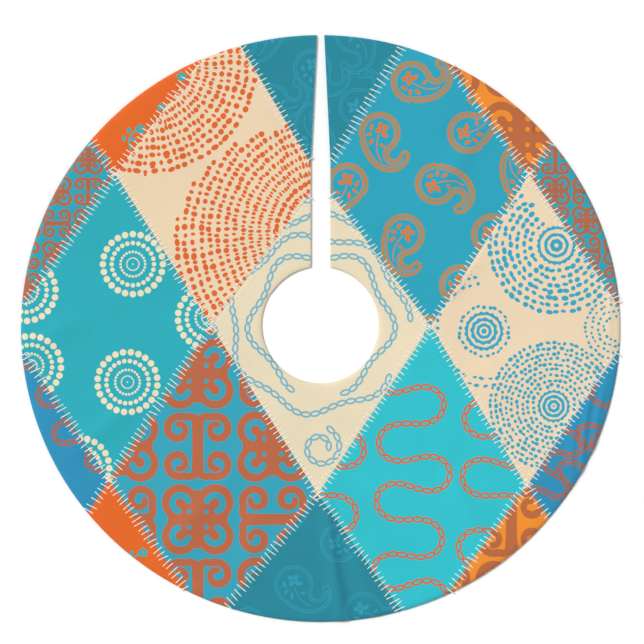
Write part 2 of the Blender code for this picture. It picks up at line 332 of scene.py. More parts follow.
inks = {  # every dyed colour in the set of prints
    "turquoise": "#2AACBA", "ringCream": "#EAE0BE",
    "centreCream": "#E8DABB", "chainBlue": "#78B4C6",
    "targetCream": "#EBD5B5", "targetBlue": "#38A6C3",
    "fanCream": "#EAD3B1", "fanOrange": "#E0652C",
    "paisleyBlue": "#29A3BC", "paisleyOchre": "#DB7836", "paisleyOlive": "#BE8449",
    "scrollBlue": "#34A3BA", "scrollRust": "#BA6846", "farBlue": "#2AA4B8", "farRust": "#B0684A",
    "chainTurquoise": "#2EC0CC", "chainRust": "#D06A3E",
    "deepBlue": "#2B8FB9", "deepRust": "#B0603F",
    "orange": "#E46722", "orangeTeal": "#2FB0B0",
    "amber": "#EE8E2C", "amberRust": "#BA693E",
    "teal": "#24879A", "tealLine": "#2D9AB4",
}
inkMaterial = {}


# dye-printed brushed polyester: matt, with a short nap and a fine plain weave under the print
def ink(name):
    if name not in inkMaterial:
        inkMaterial[name] = clothMaterial("brushedPolyester_" + name, inks[name], 1.9, 0.82, 0.22,
                                          420.0, 0.05, printed=True)
    return inkMaterial[name]


print("plan and inks ready")


# flat shapes for the prints
def disc(x, y, rx, ry=None, turn=0.0, sides=14):
    ry = rx if ry is None else ry
    c, s = math.cos(turn), math.sin(turn)
    out = []
    for k in range(sides):
        t = 2 * math.pi * k / sides
        u, v = rx * math.cos(t), ry * math.sin(t)
        out.append((x + u * c - v * s, y + u * s + v * c))
    return out


def waved(x, y, radius, depth, waves, phase):
    sides = max(36, waves * 6)
    out = []
    for k in range(sides):
        t = 2 * math.pi * k / sides
        r = radius + depth * math.cos(waves * t + phase)
        out.append((x + r * math.cos(t), y + r * math.sin(t)))
    return out


# even points along a soft curve through the given ones, each with its heading
def curveThrough(points, step):
    p = [Vector(q) for q in points]
    p = [2 * p[0] - p[1]] + p + [2 * p[-1] - p[-2]]
    fine = []
    for i in range(1, len(p) - 2):
        for k in range(16):
            t = k / 16
            a, b, c, d = p[i - 1], p[i], p[i + 1], p[i + 2]
            fine.append(0.5 * ((2 * b) + (c - a) * t + (2 * a - 5 * b + 4 * c - d) * t * t
                               + (3 * b - a - 3 * c + d) * t ** 3))
    fine.append(p[-2])
    out, gone, want = [], 0.0, 0.0
    for a, b in zip(fine, fine[1:]):
        d = (b - a).length
        while d > 0 and gone + d >= want:
            q = a + (b - a) * ((want - gone) / d)
            out.append((q, math.atan2(b.y - a.y, b.x - a.x)))
            want += step
        gone += d
    return out


# a brush stroke with round ends; widths is one number or one for each point
def stroke(points, widths, capSides=7):
    p = [Vector(q) for q in points]
    w = [widths / 2] * len(p) if not hasattr(widths, "__len__") else [v / 2 for v in widths]
    left, right, heads = [], [], []
    for i, q in enumerate(p):
        d = (p[min(i + 1, len(p) - 1)] - p[max(i - 1, 0)]).normalized()
        n = Vector((-d.y, d.x))
        left.append(q + n * w[i])
        right.append(q - n * w[i])
        heads.append(math.atan2(d.y, d.x))

    def cap(q, r, start):
        turns = [start - math.pi * k / capSides for k in range(1, capSides)]
        return [(q.x + r * math.cos(t), q.y + r * math.sin(t)) for t in turns]

    out = [tuple(v) for v in left] + cap(p[-1], w[-1], heads[-1] + math.pi / 2)
    out += [tuple(v) for v in reversed(right)] + cap(p[0], w[0], heads[0] - math.pi / 2)
    return out[::-1]


def place(shape, x, y, turn=0.0, size=1.0, flip=1):
    c, s = math.cos(turn) * size, math.sin(turn) * size
    out = [(x + u * c - v * flip * s, y + u * s + v * flip * c) for u, v in shape]
    return out if flip > 0 else out[::-1]


# a print is its inks and its shapes, in the order in which they are printed
def newPrint(ground):
    return {"inks": [ground], "shapes": []}


def stamp(pr, inkName, shape):
    if inkName not in pr["inks"]:
        pr["inks"].append(inkName)
    pr["shapes"].append((pr["inks"].index(inkName), shape))


def dotRings(pr, dotInk, x, y, radii=(56, 39.5, 23, 11.5), dots=(6.2, 4.3, 2.5, 1.4), count=24, phase=0.0):
    for radius, dot in zip(radii, dots):
        for k in range(count):
            t = 2 * math.pi * k / count + phase
            stamp(pr, dotInk, disc(x + radius * math.cos(t), y + radius * math.sin(t), dot, sides=12))
    stamp(pr, dotInk, disc(x, y, 1.6, sides=10))


# rows of uneven dots on arcs about one centre, longer outwards
def dotArcs(pr, dotInk, x, y, radii, spacing, size, span, rnd, keep, grow):
    for radius in radii:
        along = size[0] * (1 + grow * radius)
        gap = spacing * (1 + grow * radius)
        n = max(3, int(2 * math.pi * radius / gap))
        shift = rnd.random()
        for k in range(n):
            t = 2 * math.pi * (k + shift) / n + rnd.uniform(-0.2, 0.2) * gap / radius
            deg = math.degrees(t) % 360
            if not (span[0] <= deg <= span[1] or span[0] <= deg + 360 <= span[1]):
                continue
            r = radius + rnd.uniform(-1.7, 1.7)
            px, py = x + r * math.cos(t), y + r * math.sin(t)
            if keep and not keep(px, py):
                continue
            stamp(pr, dotInk, disc(px, py, size[1] * rnd.uniform(0.75, 1.25), along * rnd.uniform(0.7, 1.15),
                                t + rnd.uniform(-0.35, 0.35), sides=10))


# uneven brushed dots in rays about one centre, a row of large ones and then a row of small ones
def dotRays(pr, dotInk, x, y, radii, spacing, rnd, keep):
    rays = int(2 * math.pi * radii[-1] * 0.76 / spacing) // 2 * 2
    for n, radius in enumerate(radii):
        step = 1 if radius > radii[-1] * 0.42 else 2
        for k in range(0, rays, step):
            t = 2 * math.pi * (k + 0.18 * math.sin(n * 1.3 + k)) / rays
            r = radius + rnd.uniform(-1.8, 1.8)
            px, py = x + r * math.cos(t), y + r * math.sin(t)
            room = 2 * math.pi * radius * step / rays
            big = 1.0 if k % 2 == 0 or step == 2 else 0.62
            across = min(room * 0.46, 7.0) * big * rnd.uniform(0.8, 1.2)
            along = rnd.uniform(4.0, 5.8) * (0.7 + 0.3 * big)
            turn = t + rnd.uniform(-0.3, 0.3)
            scale = rnd.random()
            if keep(px, py):
                stamp(pr, dotInk, disc(px, py, along, max(across, 2.0), turn, sides=11))
                if scale > 0.93:  # some dots run into the next one
                    stamp(pr, dotInk, disc(px + 3 * math.cos(t), py + 5 * math.sin(t),
                                           along * 0.8, across * 0.8, turn, sides=10))


# a wandering course: the heading swings evenly to both sides of one direction, as a river's does,
# with a slower sway on top, and the direction itself may turn as the course goes
def wander(x, y, toward, length, swing, wave, bendRadius=None, sway=0.0, step=6.0):
    points = [(x, y)]
    for s in np.arange(0, length, step):
        turn = swing * math.sin(2 * math.pi * s / wave) + sway * math.sin(2 * math.pi * s / (2.7 * wave))
        heading = math.radians(toward + turn) + (s / bendRadius if bendRadius else 0.0)
        x, y = x + step * math.cos(heading), y + step * math.sin(heading)
        points.append((x, y))
    return points


link = {"long": 20.5, "wide": 12.4, "line": 3.6, "pitch": 17.6}


def chain(pr, linkInk, course):
    for q, heading in curveThrough(course, link["pitch"]):
        for shapeInk, line, sides in ((linkInk, 0, 18), (pr["inks"][0], link["line"], 14)):
            stamp(pr, shapeInk, disc(q.x, q.y, link["long"] / 2 - line, link["wide"] / 2 - line,
                                     heading, sides=sides))


# places on an even slanted grid, as a repeating print has them, each with its column and row
def gridPlaces(first, across, up, columns, rows):
    return [(first[0] + i * across[0] + j * up[0], first[1] + i * across[1] + j * up[1], i, j)
            for j in rows for i in columns]


def flower(pr, inkName, x, y, petal, turn=0.0, centre=None, petals=5):
    for k in range(petals):
        t = turn + 2 * math.pi * k / petals
        stamp(pr, inkName, disc(x + petal * 1.15 * math.cos(t), y + petal * 1.15 * math.sin(t),
                                petal, petal * 0.72, t, sides=12))
    stamp(pr, centre or pr["inks"][0], disc(x, y, petal * 0.42, sides=10))


paisleyForm = {  # the drop's middle line turns ever faster into a hook, and the drop thins along it
    "length": 110.0, "head": 37.0, "tail": 7.6, "lean": -38.0, "hook": 195.0, "hookPower": 1.6, "taper": 2.1,
    "scallop": 6.4, "line": 4.2, "gap": 2.2, "innerLine": 3.0, "steps": 30,
}
paisleyLeaves = [  # place, turn in degrees and half length
    (8, 8, 50, 6.5), (10, -20, -50, 6.5), (-15, -10, 150, 6.5), (-4, -19, -100, 6.0), (24, -3, 40, 5.5)]


def paisleySpine():
    form = paisleyForm
    x, y, spine, half = 0.0, 0.0, [], []
    for k in range(form["steps"] + 1):
        s = k / form["steps"]
        spine.append((x, y))
        half.append(form["tail"] + (form["head"] - form["tail"]) * (1 - s) ** form["taper"])
        heading = math.radians(form["lean"] + form["hook"] * s ** form["hookPower"])
        x += form["length"] / form["steps"] * math.cos(heading)
        y += form["length"] / form["steps"] * math.sin(heading)
    return spine, half


# a hooked drop: heading is where its tail points, bend the side that it hooks to
def paisley(pr, lineInk, fillInk, x, y, heading, bend=1, size=1.0, thin=False):
    form, ground = paisleyForm, pr["inks"][0]
    spine, half = paisleySpine()
    here = lambda shape: place(shape, x, y, heading, size, bend)
    at = lambda u, v: here([(u, v)])[0]

    def body(less, cut=0):
        n = len(spine) - cut
        return here(dropOutline(spine[:n], [max(v - less, 0.6) for v in half[:n]]))

    edge = body(0)
    if not thin:
        rim, gone = [Vector(q) for q in edge], 0.0
        for a, b in zip(rim, rim[1:] + rim[:1]):  # scallops along the outline
            gone += (b - a).length
            while gone > form["scallop"] * size:
                gone -= form["scallop"] * size
                q = b + (a - b) * min(gone / max((b - a).length, 1e-6), 1)
                stamp(pr, lineInk, disc(q.x, q.y, 2.9 * size, sides=9))
    line, gap, inner = (1.9, 2.6, 1.5) if thin else (form["line"], form["gap"], form["innerLine"])
    stamp(pr, lineInk, edge)
    stamp(pr, ground, body(line))
    stamp(pr, lineInk, body(line + gap, 2))
    stamp(pr, ground, body(line + gap + inner, 2))
    flower(pr, fillInk, *at(-5, 7), 6.2 * size, heading, ground, petals=4)
    stamp(pr, fillInk, stroke([at(*q) for q in spine[1:16]], 2.0 * size, 4))
    for u, v, turn, long in paisleyLeaves:
        stamp(pr, fillInk, disc(*at(u, v), long * size, long * size / 2,
                                heading + math.radians(turn) * bend, sides=12))


# the outline round a row of discs that shrink along a curved line
def dropOutline(points, halves):
    last = len(points) - 1
    rightSide, leftSide, headings, leans = [], [], [], []
    for i, (x, y) in enumerate(points):
        (x0, y0), (x1, y1) = points[max(i - 1, 0)], points[min(i + 1, last)]
        shrink = (halves[max(i - 1, 0)] - halves[min(i + 1, last)]) / math.dist((x0, y0), (x1, y1))
        heading, lean = math.atan2(y1 - y0, x1 - x0), math.asin(min(max(shrink, -0.9), 0.9))
        for side, turn in ((rightSide, lean - math.pi / 2), (leftSide, math.pi / 2 - lean)):
            side.append((x + halves[i] * math.cos(heading + turn), y + halves[i] * math.sin(heading + turn)))
        headings.append(heading)
        leans.append(lean)

    def cap(i, start, turn, count):
        (x, y), r = points[i], halves[i]
        return [(x + r * math.cos(start + turn * k / count), y + r * math.sin(start + turn * k / count))
                for k in range(1, count)]

    tail = cap(last, headings[last] - math.pi / 2 + leans[last], math.pi - 2 * leans[last], 8)
    head = cap(0, headings[0] + math.pi / 2 - leans[0], math.pi + 2 * leans[0], 30)
    # on the inside of a tight bend some points fall inside the discs, and those are left out
    buried = lambda u, v: any((u - x) ** 2 + (v - y) ** 2 < (r * 0.985) ** 2 - 0.05
                              for (x, y), r in zip(points, halves))
    return [q for q in rightSide + tail + leftSide[::-1] + head if not buried(*q)]


def arcPoints(x, y, radius, start, end, count=18, endRadius=None):
    endRadius = radius if endRadius is None else endRadius
    out = []
    for k in range(count + 1):
        s = k / count
        t = math.radians(start + (end - start) * s)
        r = radius + (endRadius - radius) * s
        out.append((x + r * math.cos(t), y + r * math.sin(t)))
    return out


# four round lobes with a horseshoe cut in each
def knotTile(pr, inkName, x, y, size):
    here = lambda shape: place(shape, x, y, 0.0, size)
    for sx in (-1, 1):
        for sy in (-1, 1):
            stamp(pr, inkName, here(disc(34 * sx, 33 * sy, 35, sides=36)))
    stamp(pr, inkName, here([(-30, -56), (30, -56), (30, 56), (-30, 56)]))
    stamp(pr, inkName, here([(-58, -30), (58, -30), (58, 30), (-58, 30)]))
    ground = pr["inks"][0]
    for sx in (-1, 1):
        for sy in (-1, 1):
            middle = math.degrees(math.atan2(-sy, -sx))
            pts = arcPoints(33 * sx, 31 * sy, 15.5, middle + 62, middle + 298, 20)
            stamp(pr, ground, here(stroke(pts, 12.0, 6)))
            stamp(pr, ground, here(disc(16.5 * sx, 15.0 * sy, 4.6, sides=12)))


# an upright bar with a curl rolled in at each corner
def curlTile(pr, inkName, x, y, size, turn):
    here = lambda shape: place(shape, x, y, turn, size)
    right = [(13, -60), (11, -30), (10.5, 0), (11, 30), (13, 60)]
    stamp(pr, inkName, here([(-13, -60)] + right + [(-u, v) for u, v in right[:0:-1]]))
    for sx in (-1, 1):
        for sy in (-1, 1):
            a = [(sx * 3, sy * 53), (sx * 14, sy * 58)]
            loop = [(sx * (37 + r * math.cos(math.radians(t))), sy * (33 + r * math.sin(math.radians(t))))
                    for r, t in zip(np.linspace(26, 9.5, 24), np.linspace(115, -270, 24))]
            for course, width in ((a + loop[:15], 14.5), (loop[13:], 12.0)):
                shape = stroke(course, width, 6)
                stamp(pr, inkName, here(shape if area2(shape) > 0 else shape[::-1]))


def area2(shape):
    p = np.array(shape)
    q = np.roll(p, -1, 0)
    return float((p[:, 0] * q[:, 1] - q[:, 0] * p[:, 1]).sum())


# the prints, in generic motifs: rings of dots, rays of dots, drops, curls and chains
ringPlaces = [(-350, 120), (-550, 70), (-210, 20), (-360, -100), (-540, -70), (-450, -260)]


def ringsPrint():
    pr = newPrint("turquoise")
    for k, (x, y) in enumerate(ringPlaces):
        dotRings(pr, "ringCream", x, y, phase=0.05 * k)
    return pr


def fansPrint():
    pr = newPrint("fanCream")
    rnd = random.Random(11)
    fan, farFan = (25, 175), (-325, 495)
    inFan = lambda px, py: math.dist((px, py), (-45, 145)) < 230 and math.dist((px, py), farFan) > 220
    dotRays(pr, "fanOrange", *fan, np.arange(46, 300, 15.5), 11.0, rnd, inFan)
    dotRays(pr, "fanOrange", *farFan, np.arange(68, 206, 15.0), 11.5, rnd, lambda px, py: True)
    return pr


targets = {"upper": (440, 155), "left": (305, -5), "lower": (435, -145), "rim": (550, 0)}


def targetsPrint():
    pr = newPrint("targetCream")
    rnd = random.Random(23)

    def rings(x, y, steps):
        for outer, inner, waves in steps:
            stamp(pr, "targetBlue", waved(x, y, outer, 1.2 if waves else 0.5, waves or 7, rnd.random() * 6))
            if inner:
                stamp(pr, "targetCream", waved(x, y, inner, 0.5, 9, rnd.random() * 6))

    rings(*targets["upper"], [(36, 30, 22), (23, 17, 0), (12, 4, 0)])
    rings(*targets["left"], [(36, 30, 20), (25, 18.5, 12), (14.5, 8.5, 0), (5, 0, 0)])
    rings(*targets["lower"], [(30, 25, 20), (21, 15, 0), (11.8, 5.6, 0), (2.2, 0, 0)])
    toUpper = lambda px, py: math.dist((px, py), targets["upper"])
    inUpper = lambda px, py: toUpper(px, py) < math.dist((px, py), targets["lower"]) + 14
    inLower = lambda px, py: not inUpper(px, py)
    for where, radii, spacing, size, span, keep, grow in [
            ("upper", np.arange(48, 128, 12.8), 11.6, (5.0, 4.1), (120, 400), inUpper, 0.0024),
            ("left", [46], 10.6, (4.2, 3.1), (0, 360), None, 0.0),
            ("lower", np.arange(39, 128, 9.9), 9.5, (3.9, 3.3), (0, 360), inLower, 0.0012),
            ("rim", [22, 33, 44, 56], 9.5, (3.4, 2.6), (0, 360), None, 0.0),
            ("left", [88, 102], 15.0, (4.6, 3.0), (95, 290), None, 0.0)]:  # stray rows towards the seam
        dotArcs(pr, "targetBlue", *targets[where], radii, spacing, size, span, rnd, keep, grow)
    return pr


def paisleyPrint():
    pr = newPrint("paisleyBlue")
    for x, y, i, j in gridPlaces((170, 460), (105, -95), (-60, -95), range(-1, 4), range(-1, 4)):
        heading = 5 + 50 * i - 75 * j
        bend = -1 if (i + j) % 3 == 2 else 1
        paisley(pr, "paisleyOlive", "paisleyOchre", x, y, math.radians(heading), bend)
    return pr


# knots and curls by turns; cells are the columns and rows, from the first place outwards
def scrollPrint(ground, inkName, origin, pitch, size, cells, swap=0):
    pr = newPrint(ground)
    for i in range(*cells[0]):
        for j in range(*cells[1]):
            x, y = origin[0] + i * pitch[0], origin[1] + j * pitch[1]
            if (i + j + swap) % 2 == 0:
                knotTile(pr, inkName, x, y, size)
            else:
                curlTile(pr, inkName, x, y, size, 0.0 if i % 2 == 0 else math.pi / 2)
    return pr


def turquoiseChainPrint():  # columns of loops, each a chain that wanders down the patch
    pr = newPrint("chainTurquoise")
    for k in range(4):
        chain(pr, "chainRust", wander(-65 + 160 * k, -40 - 45 * (k % 2), -90, 1900, 101, 335, sway=9))
    return pr


def creamChainPrint():  # chains that ripple round the neck, and a curl below it
    pr = newPrint("centreCream")
    for k in range(5):
        r = 134 + 34 * k
        turnedBy, span = ((-70, 5.6), (5, 5.6), (-40, 3.9), (10, 2.8), (10, 2.8))[k]
        first = math.radians(turnedBy)
        start = (r * math.cos(first), plan["neckY"] + r * math.sin(first))
        chain(pr, "chainBlue", wander(*start, turnedBy + 90, r * span, 24 - 4 * k, 150, bendRadius=r))
    chain(pr, "chainBlue", arcPoints(0, -222, 38, 60, -400, 40, endRadius=13))
    return pr


def blueChainPrint(side):
    pr = newPrint("deepBlue")
    for k in range(3):
        start = (side * (570 - 62 * k), -60 - 50 * k)
        chain(pr, "deepRust", wander(*start, -90 - side * 25, 420, 88, 165, sway=10))
    return pr


# a stem that bends over, with a leaf on each side and a flower at its tip
def sprig(pr, inkName, x, y, turn):
    here = lambda shape: place(shape, x, y, math.radians(turn))
    stamp(pr, inkName, here(stroke(arcPoints(0, -24, 24, 170, 60, 10), 3.2, 5)))
    for u, v, lean in ((-19, 4, 0.9), (-2, 9, 0.3), (-8, -10, 2.4)):
        stamp(pr, inkName, here(disc(u, v, 6.0, 3.4, lean, sides=10)))
    flower(pr, inkName, *here([(15, -5)])[0], 4.6, 0.4)


def orangePrint(side):
    pr = newPrint("orange")
    first = (-350, 365) if side > 0 else (-345, -425)
    for x, y, i, j in gridPlaces(first, (52, 48), (-75, 62 * side), range(-1, 4), range(2)):
        if (i + j) % 2 == 0:
            sprig(pr, "orangeTeal", x, y, 45 + 60 * i)
        else:
            flower(pr, "orangeTeal", x, y, 3.6, 0.2)
    return pr


def tealPrint(side):
    pr = newPrint("teal")
    grid = {1: ((-15, 485), (85, -72), (-78, -64)), -1: ((-50, -478), (85, 78), (130, -50))}[side]
    for x, y, i, j in gridPlaces(*grid, range(-3, 4), range(-3, 4)):
        heading = -35 + 90 * i + 45 * j
        bend = -1 if (i + j) % 3 == 2 else 1
        paisley(pr, "tealLine", "tealLine", x, y, math.radians(heading), bend, 0.97, True)
    return pr


# cutting a printed patch
def insidePolygon(x, y, poly):
    inside = np.zeros(np.shape(x), bool)
    for (x0, y0), (x1, y1) in zip(poly, poly[1:] + poly[:1]):
        if y0 != y1:
            cross = ((y0 > y) != (y1 > y)) & (x < (x1 - x0) * (y - y0) / (y1 - y0) + x0)
            inside ^= cross
    return inside


# points along each edge, closer together where the cloth folds over
def finer(poly, step=8.0, bendStep=3.0):
    out = []
    for a, b in zip(poly, poly[1:] + poly[:1]):
        n = max(1, math.ceil(math.dist(a, b) / bendStep))
        last = None
        for k in range(n):
            x, y = a[0] + (b[0] - a[0]) * k / n, a[1] + (b[1] - a[1]) * k / n
            away = float(fromFold(x, y))
            near = -plan["bendWidth"] - 6 < away < 8 and y > 0
            if last is None or near or math.dist(last, (x, y)) >= step - 0.5:
                out.append((x, y))
                last = (x, y)
    return out


# an even spread of points inside a patch, off its edges
def fillPoints(poly, step):
    xs, ys = [p[0] for p in poly], [p[1] for p in poly]
    grid = []
    row, y = 0, min(ys)
    while y < max(ys):
        grid += [(x + (step / 2 if row % 2 else 0), y) for x in np.arange(min(xs), max(xs), step)]
        y += step * 0.866
        row += 1
    g = np.array(grid)
    x, y = g.T
    ok = insidePolygon(x, y, insetConvex(poly, 2.5))
    ok &= (fromRim(x, y) > 12) & (fromNeck(x, y) > 11) & (fromSlit(x, y) > 5)
    return g[ok].tolist()


# rows of points that follow the seams and the hem, so the dips and rolled edges are smooth
def rowPoints(poly):
    pts = []
    for inset in (1.3, 3.2, 7.0):
        pts += finer(insetConvex(poly, inset))
    pts = [p for p in pts if fromRim(*p) > 1 and fromNeck(*p) > 1 and fromSlit(*p) > 1]
    inner = insetConvex(poly, 1.0)
    for inset in (0.7, 1.8, 3.4, 5.6, 8.6):
        row = np.array(skirtOutline(inset, 7.0))
        pts += row[insidePolygon(row[:, 0], row[:, 1], inner)].tolist()
    return pts


# rows of points along both fold lines, close enough for the cloth to turn over in a smooth bend
def foldRows(step=6.0, apart=2.4):
    pts = []
    for side in (-1, 1):
        for off in np.arange(-(plan["bendWidth"] + 2), 4, apart):
            for along in np.arange(-235, 240, step):
                x = foldPoint.x + foldAxis.x * along + foldAxis.y * off
                y = foldPoint.y + foldAxis.y * along - foldAxis.x * off
                pts.append((side * x, y))
    x, y = np.array(pts).T
    ok = (fromRim(x, y) > 5) & (fromNeck(x, y) > 5) & (y > plan["splitY"] + 3) & (fromSlit(x, y) > 5)
    return np.array(pts)[ok].tolist()


# extra points along the soft folds, so a narrow one stays smooth
def creaseRows(poly):
    pts = []
    for (x0, y0), (x1, y1), height, width in creases.values():
        if width > 12:
            continue
        run = math.hypot(x1 - x0, y1 - y0)
        ux, uy = (x1 - x0) / run, (y1 - y0) / run
        for off in np.arange(-2.4, 2.5, 0.4) * width:
            for t in np.arange(-0.15, 1.26, 7.0 / run):
                bow = 5 * math.sin(t * 3.1)
                pts.append((x0 + ux * run * t + uy * (off - bow), y0 + uy * run * t - ux * (off - bow)))
    p = np.array(pts)
    ok = insidePolygon(p[:, 0], p[:, 1], insetConvex(poly, 3.0)) & (fromRim(p[:, 0], p[:, 1]) > 10)
    return p[ok].tolist()


def doubleArea(coords, tris):
    a, b, c = (coords[tris[:, k]] for k in range(3))
    return np.abs((b[:, 0] - a[:, 0]) * (c[:, 1] - a[:, 1]) - (c[:, 0] - a[:, 0]) * (b[:, 1] - a[:, 1]))


# one triangulation of the patch in plan: points, triangles and the ink of each
def planMesh(poly, shapes, pts, outline, splitAt=None):
    verts, faces = [], []

    def face(shape):
        if area2(shape) < 0:
            shape = shape[::-1]
        faces.append(list(range(len(verts), len(verts) + len(shape))))
        verts.extend(shape)

    face(finer(poly) if len(poly) == 4 else poly)
    face(outline)
    low = splitAt if splitAt is not None else -2000
    face([(x, low) for x in np.arange(-600, 601, 6.0)] + [(600, 700), (-600, 700)])
    low2, high2 = np.min(poly, 0), np.max(poly, 0)
    inkOf = {}
    for number, shape in shapes:
        s = np.array(shape)
        if (s.max(0) < low2).any() or (s.min(0) > high2).any():
            continue
        onCloth = np.hypot(s[:, 0] / plan["rimX"], s[:, 1] / plan["rimY"]) < 1
        if not (insidePolygon(s[:, 0], s[:, 1], poly).any() and onCloth.any()):
            if np.ptp(s, 0).max() < 60:
                continue
        inkOf[len(faces)] = number
        face(finer(shape, 1e9, 2.5))
    verts.extend(pts)
    out = delaunay_2d_cdt([Vector(v) for v in verts], [], faces, 0, 1e-4, True)
    coords = np.array([tuple(v) for v in out[0]])
    allTris = np.array(out[2])
    mid = coords[allTris].mean(1)
    keep = insidePolygon(mid[:, 0], mid[:, 1], poly) & insidePolygon(mid[:, 0], mid[:, 1], outline)
    keep &= doubleArea(coords, allTris) > 1e-5
    tris = allTris[keep]
    tops = [max((o for o in owners if o > 2), default=0) for owners, kept in zip(out[5], keep) if kept]
    return coords, tris, np.array([inkOf.get(top, 0) for top in tops]), mid[keep][:, 1] > low


# a thin closed piece of cloth: printed top, plain back and a cut edge all round
def closedCloth(name, coords, tris, faceInk, materials, topAt, thick):
    used = np.unique(tris)
    index = {int(v): k for k, v in enumerate(used)}
    p = coords[used]
    n = len(used)
    z = topAt(p[:, 0], p[:, 1])
    thickness = thick(p[:, 0], p[:, 1]) if callable(thick) else thick
    verts = np.concatenate([np.column_stack([p, z]), np.column_stack([p, z - thickness])]) * mm
    faces, inkNumber = [], []
    edges = {}
    for tri, number in zip(tris, faceInk):
        a, b, c = (index[int(v)] for v in tri)
        if (p[b][0] - p[a][0]) * (p[c][1] - p[a][1]) - (p[c][0] - p[a][0]) * (p[b][1] - p[a][1]) < 0:
            b, c = c, b
        faces += [(a, b, c), (c + n, b + n, a + n)]
        inkNumber += [number, 0]
        for e in ((a, b), (b, c), (c, a)):
            if (e[1], e[0]) in edges:
                del edges[(e[1], e[0])]
            else:
                edges[e] = number
    for (a, b), number in edges.items():
        faces.append((b, a, a + n, b + n))
        inkNumber.append(number)
    obj = meshObject(name, verts.tolist(), faces, materials, verts[:, :2])
    obj.data.polygons.foreach_set("material_index", np.array(inkNumber, np.int32))
    obj.data.update()
    # the turn from the top to the cut edge stays crisp
    obj.data.set_sharp_from_angle(angle=math.radians(50))
    return obj


cornerBody = {-1: "left_corner", 1: "right_corner"}


# moves: flat rides the skirt, bend crosses a fold line, corner rides a corner
def hang(piece, side, nodes, moves):
    if moves == "flat":
        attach(piece, "skirt")
    elif moves == "corner":
        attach(piece, cornerBody[side])
    else:
        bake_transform(piece)
    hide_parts(*nodes)


outline = skirtOutline()
scrolls = {  # ground, line, first place, pitch, size, (columns, rows), and whether knots and curls swap
    "red_scroll_patch_lower_left": (
        "scrollBlue", "scrollRust", (-229, -356), (140, 136), 0.97, ((-2, 3), (-2, 4))),
    "red_scroll_patch_far_left": (
        "farBlue", "farRust", (-433, 315), (58.5, 59.5), 0.41, ((-4, 5), (-7, 4))),
    "red_scroll_patch_far_right": (
        "farBlue", "farRust", (438, 257), (58.5, 56), 0.41, ((-4, 5), (-6, 5))),
    "brown_scroll_patch_upper_right": (
        "amber", "amberRust", (370, 357), (140, 138), 0.97, ((-2, 3), (-2, 3))),
    "brown_scroll_patch_lower_right": (
        "amber", "amberRust", (356, -363), (140, 136), 0.97, ((-2, 3), (-2, 3)), 1),
}
patches = [
    # piece, column and row, print and what it is given, slot, the corners that it reaches into
    ("turquoise_rings_patch", (-2, 0), ringsPrint, (), "turquoise_rings", ()),
    ("cream_orange_dots_patch", (-1, 1), fansPrint, (), "cream_orange_dots", (-1,)),
    ("cream_blue_dots_patch", (2, 0), targetsPrint, (), "cream_blue_dots", ()),
    ("blue_paisley_patch", (1, 1), paisleyPrint, (), "blue_paisley", (1,)),
    ("cream_chain_patch", (0, 0), creamChainPrint, (), "cream_chain", (-1, 1)),
    ("red_scroll_patch_lower_left", (-1, -1), scrollPrint, None, "red_scroll", ()),
    ("red_scroll_patch_far_left", (-3, 1), scrollPrint, None, "red_scroll", ()),
    ("red_scroll_patch_far_right", (3, 1), scrollPrint, None, "red_scroll", ()),
    ("turquoise_chain_patch", (1, -1), turquoiseChainPrint, (), "turquoise_chain", ()),
    ("blue_chain_patch_far_left", (-3, -1), blueChainPrint, (-1,), "blue_chain", ()),
    ("blue_chain_patch_far_right", (3, -1), blueChainPrint, (1,), "blue_chain", ()),
    ("orange_flower_patch_upper_left", (-2, 2), orangePrint, (1,), "orange_flower", ()),
    ("orange_flower_patch_lower_left", (-2, -2), orangePrint, (-1,), "orange_flower", ()),
    ("brown_scroll_patch_upper_right", (2, 2), scrollPrint, None, "brown_scroll", ()),
    ("brown_scroll_patch_lower_right", (2, -2), scrollPrint, None, "brown_scroll", ()),
    ("teal_paisley_patch_top", (0, 2), tealPrint, (1,), "teal_paisley", "halves"),
    ("teal_paisley_patch_bottom", (0, -2), tealPrint, (-1,), "teal_paisley", ()),
]


# how a patch is divided: (suffix, its triangles, side, how it moves, the nodes that it stands for)
def partsOf(name, reach, upper, middle):
    sides, whole = (("left", -1), ("right", 1)), np.ones(len(middle), bool)
    if reach == "halves":  # the slit cuts this patch in two, and each half lies in a corner
        return [("_" + word, side * middle > 0, side, "corner", [name + "_" + word]) for word, side in sides]
    if not reach:
        return [("", whole, 1, "flat", [name])]
    nodes = {side: [name, name + "_" + cornerBody[side]] for side in reach}
    if len(reach) == 1:
        return [("", whole, reach[0], "bend", nodes[reach[0]])]
    return [("_lower", ~upper, 1, "flat", [name])] + [
        ("_upper_" + word, upper & (side * middle > 0), side, "bend", nodes[side]) for word, side in sides]


foldPoints = np.array(foldRows())
for name, (column, row), makePrint, given, slot, reach in patches:
    pr = makePrint(*(scrolls[name] if given is None else given))
    poly = diamond(column, row)
    nearFold = insidePolygon(foldPoints[:, 0], foldPoints[:, 1], insetConvex(poly, 2.0))
    pts = fillPoints(poly, 11.0) + rowPoints(poly) + creaseRows(poly) + foldPoints[nearFold].tolist()
    split = plan["splitY"] if len(reach) == 2 else None
    coords, tris, inkList, upper = planMesh(poly, pr["shapes"], pts, outline, split)
    for suffix, keep, side, moves, nodes in partsOf(name, reach, upper, coords[tris].mean(1)[:, 0]):
        piece = closedCloth(name + suffix + "_cloth", coords, tris[keep], inkList[keep],
                            [ink(i) for i in pr["inks"]], patchTop, layers["patchThick"])
        hang(piece, side, nodes, moves)


# plain cloths, fleece and yarn
# lining: smooth plain weave with a faint gloss
liningCloth = clothMaterial("wovenPolyesterLining", "#EFEBE2", 1.2, 0.62, 0.25)
